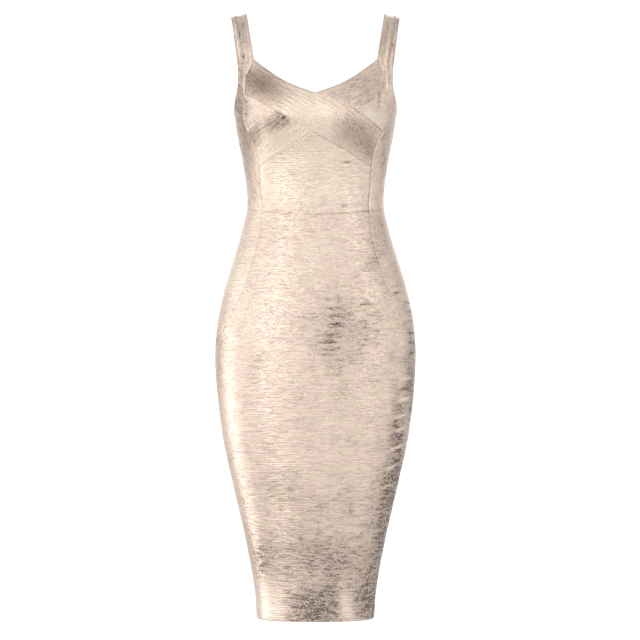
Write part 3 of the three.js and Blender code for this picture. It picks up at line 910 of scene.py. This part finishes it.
def newGroup(name, inputs, outputs):
    tree = bpy.data.node_groups.new(name, "ShaderNodeTree")
    tree.interface.new_socket("Vector", in_out="INPUT", socket_type="NodeSocketVector")
    for key, value in inputs.items():
        socket = tree.interface.new_socket(key, in_out="INPUT", socket_type="NodeSocketFloat")
        socket.default_value = value
    for key in outputs:
        tree.interface.new_socket(key, in_out="OUTPUT", socket_type="NodeSocketFloat")
    return tree, tree.nodes.new("NodeGroupInput").outputs, tree.nodes.new("NodeGroupOutput")


# Scales are waves to a metre, along the grain and across it. Widths and shares are of the noise.
crinkleLook = {
    "long": 62.0, "fine": 300.0, "waverScale": 44.0, "waver": 0.009, "lineScale": (0.8, 0.8, 1.8),
    "lineWidth": (0.05, 0.01, 0, 0.75), "lineBreaks": (0.55, 0.44), "lineDepth": -0.1,
    "speckleScale": (330.0, 330.0, 520.0), "speckleHeight": 0.25,
}


# The crinkle that a foil takes on a stretched knit: wavy dashes along the grain, thin lines between
# them, and a speckle.
def makeCrinkle():
    inputs = {"Grain": 0.0, "Long": crinkleLook["long"], "Fine": crinkleLook["fine"]}
    tree, given, out = newGroup("foilCrinkle", inputs, ("Height", "Dashes", "Lines", "Speckle"))
    turned = turnedPlace(tree, given)
    waver = crinkleLook["waver"]
    drift = noiseAt(tree, turned, crinkleLook["waverScale"], 2.0)
    wander = maths(tree, "MULTIPLY_ADD", drift, waver, -waver / 2)
    lift = addNode(tree, "ShaderNodeCombineXYZ", {"Z": wander}).outputs[0]
    wavy = vectorMaths(tree, "ADD", turned, lift)
    squeeze = {"X": given["Long"], "Y": given["Long"], "Z": given["Fine"]}
    squeezed = addNode(tree, "ShaderNodeCombineXYZ", squeeze).outputs[0]
    dashSpace = vectorMaths(tree, "MULTIPLY", wavy, squeezed)
    dashes = noiseAt(tree, dashSpace, 1.0, 2.5, 0.55)
    lineSpace = vectorMaths(tree, "MULTIPLY", dashSpace, crinkleLook["lineScale"])
    offLine = maths(tree, "ABSOLUTE", maths(tree, "SUBTRACT", noiseAt(tree, lineSpace, 1.0, 1.0), 0.5))
    broken = ranged(tree, dashes, *crinkleLook["lineBreaks"])
    lines = maths(tree, "MULTIPLY", ranged(tree, offLine, *crinkleLook["lineWidth"]), broken)
    speckleSpace = vectorMaths(tree, "MULTIPLY", turned, crinkleLook["speckleScale"])
    speckle = noiseAt(tree, speckleSpace, 1.0, 2.0, 0.6)
    lined = maths(tree, "MULTIPLY_ADD", lines, crinkleLook["lineDepth"], dashes)
    height = maths(tree, "MULTIPLY_ADD", speckle, crinkleLook["speckleHeight"], lined)
    feed(tree, out, {"Height": height, "Dashes": dashes, "Lines": lines, "Speckle": speckle})
    return tree


# The fine courses of the knit under the foil, as a height.
def makeRibs():
    tree, given, out = newGroup("knitRibs", {"Grain": 0.0, "Courses": 110.0}, ["Height"])
    turned = turnedPlace(tree, given)
    inputs = {"Vector": turned, "Scale": given["Courses"], "Distortion": 1.2, "Detail": 1.0}
    ribs = addNode(tree, "ShaderNodeTexWave", inputs, bands_direction="Z").outputs["Fac"]
    feed(tree, out, {"Height": ribs})
    return tree


crinkleGroup = makeCrinkle()
ribGroup = makeRibs()

# The foil's colours. Dark is both the colour of its cracks and of the painted shade, pale also serves for the
# painted highlights and glints, and the brownish one is the even painted shade.
foil = {
    "warm": (0.92, 0.755, 0.605, 1), "rosy": (0.89, 0.7, 0.615, 1), "pale": (1.0, 0.857, 0.7, 1),
    "dark": (0.12, 0.09, 0.078, 1), "shadeBrown": (0.2, 0.14, 0.09, 1), "metallic": 0.85, "roughness": 0.33,
    "crinkleDepth": 0.0011, "ribDepth": 0.00012, "worn": 0.52, "uneven": 0.13, "evenShadeShare": 0.42,
    "glints": 0.75, "crackedMetallic": -0.3, "crackedRoughness": 0.16, "unevenScale": 30.0,
    "hueScale": 75.0,
}
# Each runs smoothly from 0 to 1 between two values of its noise, or between the last two given. Pale runs to
# the paler colour where the tone table paints highlights, and the last one picks painted glints out of the
# speckle.
runs = {
    "uneven": (0.3, 0.7, -foil["uneven"], foil["uneven"]), "patchy": (0.62, 0.4, 0.45, 1.0),
    "dashEdge": (-0.015, 0.04), "hue": (0.4, 0.6), "pale": (0.0, -0.5), "spots": (0.56, 0.38),
    "glints": (0.56, 0.66),
}
# Each is a share on the foil itself, and what it gains with the painted shade.
shadeGains = {"dashEdge": (0.41, 0.08), "cover": (0.18, 0.85), "spots": (0.14, 0.24)}
reverseLook = {
    "dark": (0.52, 0.44, 0.36, 1), "pale": (0.62, 0.53, 0.44, 1), "between": (0.4, 0.33, 0.27, 1),
    "betweenShare": 0.25, "roughness": 0.85, "ribDepth": 0.0004, "cloudScale": 60.0,
}


# A share that grows with the painted shade of the tone table.
def worn(tree, amount, kind):
    new, gain = shadeGains[kind]
    return maths(tree, "MULTIPLY_ADD", amount, gain, new)


def newMaterial(name):
    material = bpy.data.materials.new(name)
    material.use_nodes = True
    tree = material.node_tree
    return material, tree, tree.nodes["Principled BSDF"]


def grouped(tree, group, place, turn):
    node = tree.nodes.new("ShaderNodeGroup")
    node.node_tree = group
    feed(tree, node, {"Vector": place, "Grain": turn})
    return node.outputs


def bumped(tree, height, depth, **under):
    inputs = {"Strength": 1.0, "Distance": depth, "Height": height, **under}
    return addNode(tree, "ShaderNodeBump", inputs).outputs[0]


def foilMaterial(name, grain):
    material, tree, shader = newMaterial(name)
    place = tree.nodes.new("ShaderNodeTexCoord").outputs["Object"]
    crinkle = grouped(tree, crinkleGroup, place, math.radians(grain))
    ribs = grouped(tree, ribGroup, place, math.radians(grain))["Height"]
    shade = addNode(tree, "ShaderNodeAttribute", {}, attribute_name="shade").outputs["Fac"]
    groove = addNode(tree, "ShaderNodeAttribute", {}, attribute_name="groove").outputs["Fac"]
    uneven = ranged(tree, noiseAt(tree, place, foil["unevenScale"], 3.0), *runs["uneven"])
    # The tone table's painted shade and highlights, plus a random unevenness of the foil's tone. Reach is the
    # painted shade, held between 0 and 1.
    dark = maths(tree, "ADD", shade, uneven)
    reach = addNode(tree, "ShaderNodeMapRange", {"Value": dark}).outputs[0]
    # The dashes spread and close up where the painted shade is darker.
    shortfall = maths(tree, "SUBTRACT", worn(tree, dark, "dashEdge"), crinkle["Dashes"])
    patchy = ranged(tree, crinkle["Speckle"], *runs["patchy"])
    dashed = maths(tree, "MULTIPLY", ranged(tree, shortfall, *runs["dashEdge"]), patchy)
    dashed = maths(tree, "MAXIMUM", dashed, crinkle["Lines"])
    # The dashes are partly the foil's own cracks and partly painted shade, darkening more under the painted
    # shade.
    cover = maths(tree, "MULTIPLY", dashed, worn(tree, reach, "cover"))
    hue = ranged(tree, noiseAt(tree, place, foil["hueScale"], 2.0), *runs["hue"])
    ground = blendColours(tree, hue, foil["warm"], foil["rosy"])
    # Painted highlights where the tone table is below 0.
    ground = blendColours(tree, ranged(tree, dark, *runs["pale"]), ground, foil["pale"])
    # Dark speckle, partly the foil's own and partly painted shade that grows with the tone table's shade.
    spots = ranged(tree, crinkle["Speckle"], *runs["spots"])
    spots = maths(tree, "MULTIPLY", spots, worn(tree, reach, "spots"))
    speckled = blendColours(tree, spots, ground, foil["dark"])
    # Painted shade from the tone table.
    shadedColour = blendColours(tree, maths(tree, "MULTIPLY", reach, foil["worn"]), speckled, foil["dark"])
    crackedAndShaded = blendColours(tree, cover, shadedColour, foil["dark"])
    # Pale painted glints, only where there is painted shade.
    bright = ranged(tree, crinkle["Speckle"], *runs["glints"])
    glints = maths(tree, "MULTIPLY", bright, maths(tree, "MULTIPLY", reach, foil["glints"]))
    crackedAndShaded = blendColours(tree, glints, crackedAndShaded, foil["pale"])
    # Even painted shade and the painted shade in the seam grooves, mixed towards a brownish colour.
    evenShade = maths(tree, "MULTIPLY", groove, foil["evenShadeShare"])
    ribBump = bumped(tree, ribs, foil["ribDepth"])
    feed(tree, shader, {
        "Base Color": blendColours(tree, evenShade, crackedAndShaded, foil["shadeBrown"]),
        "Metallic": maths(tree, "MULTIPLY_ADD", cover, foil["crackedMetallic"], foil["metallic"]),
        "Roughness": maths(tree, "MULTIPLY_ADD", cover, foil["crackedRoughness"], foil["roughness"]),
        "Normal": bumped(tree, crinkle["Height"], foil["crinkleDepth"], Normal=ribBump),
    })
    return material


def reverseMaterial():
    material, tree, shader = newMaterial("knitReverse")
    place = tree.nodes.new("ShaderNodeTexCoord").outputs["Object"]
    ribs = grouped(tree, ribGroup, place, 0)["Height"]
    cloud = noiseAt(tree, place, reverseLook["cloudScale"], 2.0)
    colour = blendColours(tree, cloud, reverseLook["dark"], reverseLook["pale"])
    between = maths(tree, "MULTIPLY", ribs, reverseLook["betweenShare"])
    feed(tree, shader, {
        "Base Color": blendColours(tree, between, reverseLook["between"], colour),
        "Roughness": reverseLook["roughness"],
        "Normal": bumped(tree, ribs, reverseLook["ribDepth"]),
    })
    return material


reverse = reverseMaterial()
levelFoil = foilMaterial("foilLevel", 0)

# Each piece's grain is in degrees. Its flat size and area are those of its cut, in metres, before it
# is stretched, and ridge is how far it stands out beside a sewn seam, in millimetres, and also how strong a
# painted highlight it gets there.
bandOver = {
    "grain": -33, "lapsOver": True, "ridge": 0.4,
    "flat": (0.267, 0.075), "area": 0.015, "sewnTo": ["strap_left", "strap_right"],
}
s = seams
sewPiece("bandOver", "band_over", bodyRows(
    [
        (mirrored(s["neck"])[::-1], mirrored(s["cupTop"])[::-1]),
        (s["overTop"], mirrored(s["crossing"])),
        (s["cupLow"], s["bandLow"]),
    ],
    [(mirrored(s["wedge"]), s["bandSide"])],
), bandOver, foilMaterial("foilOverBand", bandOver["grain"]))

bandUnder = {"grain": 33, "flat": (0.122, 0.07), "area": 0.0052, "sewnTo": ["strap_left"]}
bandUnderLower = {**bandUnder, "flat": (0.114, 0.074), "area": 0.0057, "sewnTo": ["band_over"]}
underFoil = foilMaterial("foilUnderBand", bandUnder["grain"])
sewPiece("bandUnderUpper", "band_under_upper", bodyRows(
    [(s["neck"], s["cupTop"])], [(s["overTop"], s["wedge"])],
), bandUnder, underFoil)
sewPiece("bandUnderLower", "band_under_lower", bodyRows(
    [(mirrored(s["cupLow"]), mirrored(s["bandLow"]))], [(mirrored(s["crossing"]), mirrored(s["bandSide"]))],
), bandUnderLower, underFoil)
print("bands sewn")

midriff = {"grain": 0, "flat": (0.228, 0.13), "area": 0.0191, "sewnTo": ["band_over", "band_under_lower"]}
sewPiece("midriffFront", "midriff_front", bodyRows(
    [(mirrored(s["bandLow"])[::-1] + s["bandLow"][1:], s["waistFront"])],
    [(mirrored(s["midriffSide"]), s["midriffSide"])],
), midriff, levelFoil)

skirtFront = {"grain": 0, "flat": (0.428, 0.708), "area": 0.213, "sewnTo": ["midriff_front"]}
edge = s["hip"] + s["skirtSide"][1:]
sewPiece("skirtFront", "skirt_front", bodyRows(
    [(s["waistFront"], s["hemFront"])], [(mirrored(edge), edge)],
), skirtFront, levelFoil)
print("front sewn")

# Tail is the side that a neighbour's name ends in, for a piece sewn to the one on its own side.
strap = {"grain": 90, "flat": (0.021, 0.313), "area": 0.0054, "sewnTo": ["side_front"]}
sideFront = {"grain": 62, "ridge": 0.12, "flat": (0.083, 0.494), "area": 0.0149, "sewnTo": ["side_cup"]}
sideCup = {"grain": 0, "ridge": 0.4, "flat": (0.078, 0.063), "area": 0.0025, "sewnTo": ["band_over"]}
hipSide = {"grain": 0, "flat": (0.078, 0.262), "area": 0.015, "sewnTo": ["skirt_front"]}
backBodice = {"grain": 0, "flat": (0.239, 0.212), "area": 0.0286, "sewnTo": ["back_skirt"]}
backSkirt = {"grain": 0, "flat": (0.224, 0.681), "area": 0.124, "sewnTo": ["skirt_front"]}
strapFoil = foilMaterial("foilStrap", strap["grain"])

for side, word, tail in ((1, "Left", "_left"), (-1, "Right", "_right")):
    across = [(s["baseInner"], curved(tipInner + strapTip))]
    rows = stripRows("neck", "ridge", across, [(s["wedge"], s["ridgeFoot"])], side)
    sewPiece("strap" + word, "strap" + tail, rows, {**strap, "tail": tail}, strapFoil)

    sidePairs = [
        (s["ridgeFoot"], s["strapFoot"][::-1]),
        (s["cupSide"], s["frontArmhole"][::-1]),
        (s["belowCup"], s["bodiceSide"]),
    ]
    rows = stripRows("ridge", "armhole", [(s["baseOuter"], s["waistSide"])], sidePairs, side)
    look = {**sideFront, "grain": side * sideFront["grain"], "tail": tail}
    sideFoil = foilMaterial("foilSide" + word, look["grain"])
    sewPiece("sideFront" + word, "side_front" + tail, rows, look, sideFoil)

    sewPiece("sideCup" + word, "side_cup" + tail, bodyRows(
        [(s["cupTopToTip"], s["cupLow"])], [(cupPoint * 2, s["cupSide"])], side,
    ), sideCup, levelFoil)
    sewPiece("hipSide" + word, "hip_side" + tail, bodyRows(
        [(s["waistSide"], hipPoint * 2)], [(s["hip"], s["hipSide"])], side,
    ), hipSide, levelFoil)
    topLine = s["backNeck"] + s["backBase"][1:] + s["backArmhole"][::-1][1:]
    sewPiece("backBodice" + word, "back_bodice" + tail, bodyRows(
        [(topLine, s["waistBack"])], [(s["centreBodice"], s["bodiceSide"])], side,
    ), {**backBodice, "tail": tail}, levelFoil)
    sewPiece("backSkirt" + word, "back_skirt" + tail, bodyRows(
        [(s["waistBack"], s["hemBack"])], [(s["centreSkirt"], s["hipSide"] + s["skirtSide"][1:])], side,
    ), backSkirt, levelFoil)
    print("side and back sewn on the wearer's", word.lower())

# The floor glows a little, and more where the camera sees it. Sizes and places are metres.
stage = {
    "floor": -1.4, "floorSize": 16, "floorGlow": 0.165, "seenGlow": 0.44, "whiteBehind": 1.2,
    "cameraDistance": 4.3, "cameraX": 0.00765, "cameraZ": -0.5185, "lens": 142.3, "sensor": 36,
    "lightsAimAt": -0.5, "floorColour": (0.7, 0.69, 0.68, 1),
}

bpy.ops.object.select_all(action="DESELECT")
bpy.ops.mesh.primitive_plane_add(size=stage["floorSize"], location=(0, 0, stage["floor"]))
floor = bpy.context.object
floor.name = "floor"
paleFloor, tree, shader = newMaterial("paleFloor")
seen = tree.nodes.new("ShaderNodeLightPath").outputs["Is Camera Ray"]
feed(tree, shader, {
    "Base Color": stage["floorColour"], "Roughness": 0.9, "Emission Color": (1, 1, 1, 1),
    "Emission Strength": maths(tree, "MULTIPLY_ADD", seen, stage["seenGlow"], stage["floorGlow"]),
})
floor.data.materials.append(paleFloor)

# Soft studio light: one box low on the left, a key in front, weaker ones on the right and behind.
boxNames = ("name", "place", "size", "radiance")
softBoxes = [dict(zip(boxNames, row)) for row in [
    ("leftBox", (-1.25, 0.06, -0.95), (0.6, 0.7), 1.45),
    ("keyBox", (-1.9, -3.2, -0.3), (1.3, 1.0), 1.8),
    ("rightBox", (2.6, -2.6, 0.2), (0.8, 1.4), 1.3),
    ("backBox", (1.2, 3.2, 1.5), (1.6, 1.2), 1.7),
]]
aim = Vector((0, 0, stage["lightsAimAt"]))
for box in softBoxes:
    light = bpy.data.lights.new(box["name"], "AREA")
    light.shape = "RECTANGLE"
    light.size, light.size_y = box["size"]
    light.energy = box["radiance"] * math.pi * light.size * light.size_y
    lamp = bpy.data.objects.new(box["name"], light)
    lamp.location = box["place"]
    lamp.visible_camera = False
    lamp.rotation_euler = (aim - lamp.location).to_track_quat("-Z", "Y").to_euler()
    bpy.context.collection.objects.link(lamp)

# The room is paler on the left than on the right, and darkest low on the right. It dims where it
# would only be seen at the dress's edges. The camera itself sees plain white.
room = {
    "level": 1.265, "right": 0.8, "left": 0.13, "edges": 0.36, "low": 0.97, "high": 0.55, "lowRight": 0.6,
}
world = bpy.data.worlds.new("studio")
world.use_nodes = True
bpy.context.scene.world = world
tree = world.node_tree
direction = tree.nodes.new("ShaderNodeTexCoord").outputs["Generated"]
x, y, z = addNode(tree, "ShaderNodeSeparateXYZ", {"Vector": direction}).outputs
sides = maths(tree, "ABSOLUTE", x)
edgeDim = maths(tree, "MULTIPLY", ranged(tree, y, 0.1, 0.5), ranged(tree, sides, 0.25, 0.6, 0, room["edges"]))
lowDown = ranged(tree, z, 0.06, -0.3, 0, room["lowRight"])
cornerDim = maths(tree, "MULTIPLY", ranged(tree, x, 0.2, 0.9), lowDown)
strength = ranged(tree, x, 0.05, 0.95, room["level"], room["level"] * room["right"])
for factor in (
    ranged(tree, x, -0.3, -0.8, 1, 1 + room["left"]),
    ranged(tree, z, -0.5, 0.1, room["low"], 1),
    ranged(tree, z, 0.12, 0.65, 1, room["high"]),
    maths(tree, "SUBTRACT", 1, edgeDim),
    maths(tree, "SUBTRACT", 1, cornerDim),
):
    strength = maths(tree, "MULTIPLY", strength, factor)
seen = tree.nodes.new("ShaderNodeLightPath").outputs["Is Camera Ray"]
strength = maths(tree, "MAXIMUM", strength, maths(tree, "MULTIPLY", seen, stage["whiteBehind"]))
feed(tree, tree.nodes["Background"], {"Strength": strength, "Color": (1, 1, 1, 1)})

camera = bpy.data.cameras.new("camera")
camera.sensor_width = stage["sensor"]
camera.lens = stage["lens"]
viewer = bpy.data.objects.new("camera", camera)
viewer.location = (stage["cameraX"], -stage["cameraDistance"], stage["cameraZ"])
viewer.rotation_euler = (math.radians(90), 0, 0)
bpy.context.collection.objects.link(viewer)
bpy.context.scene.camera = viewer
bpy.context.scene.view_settings.view_transform = "Standard"
print("stage lit")
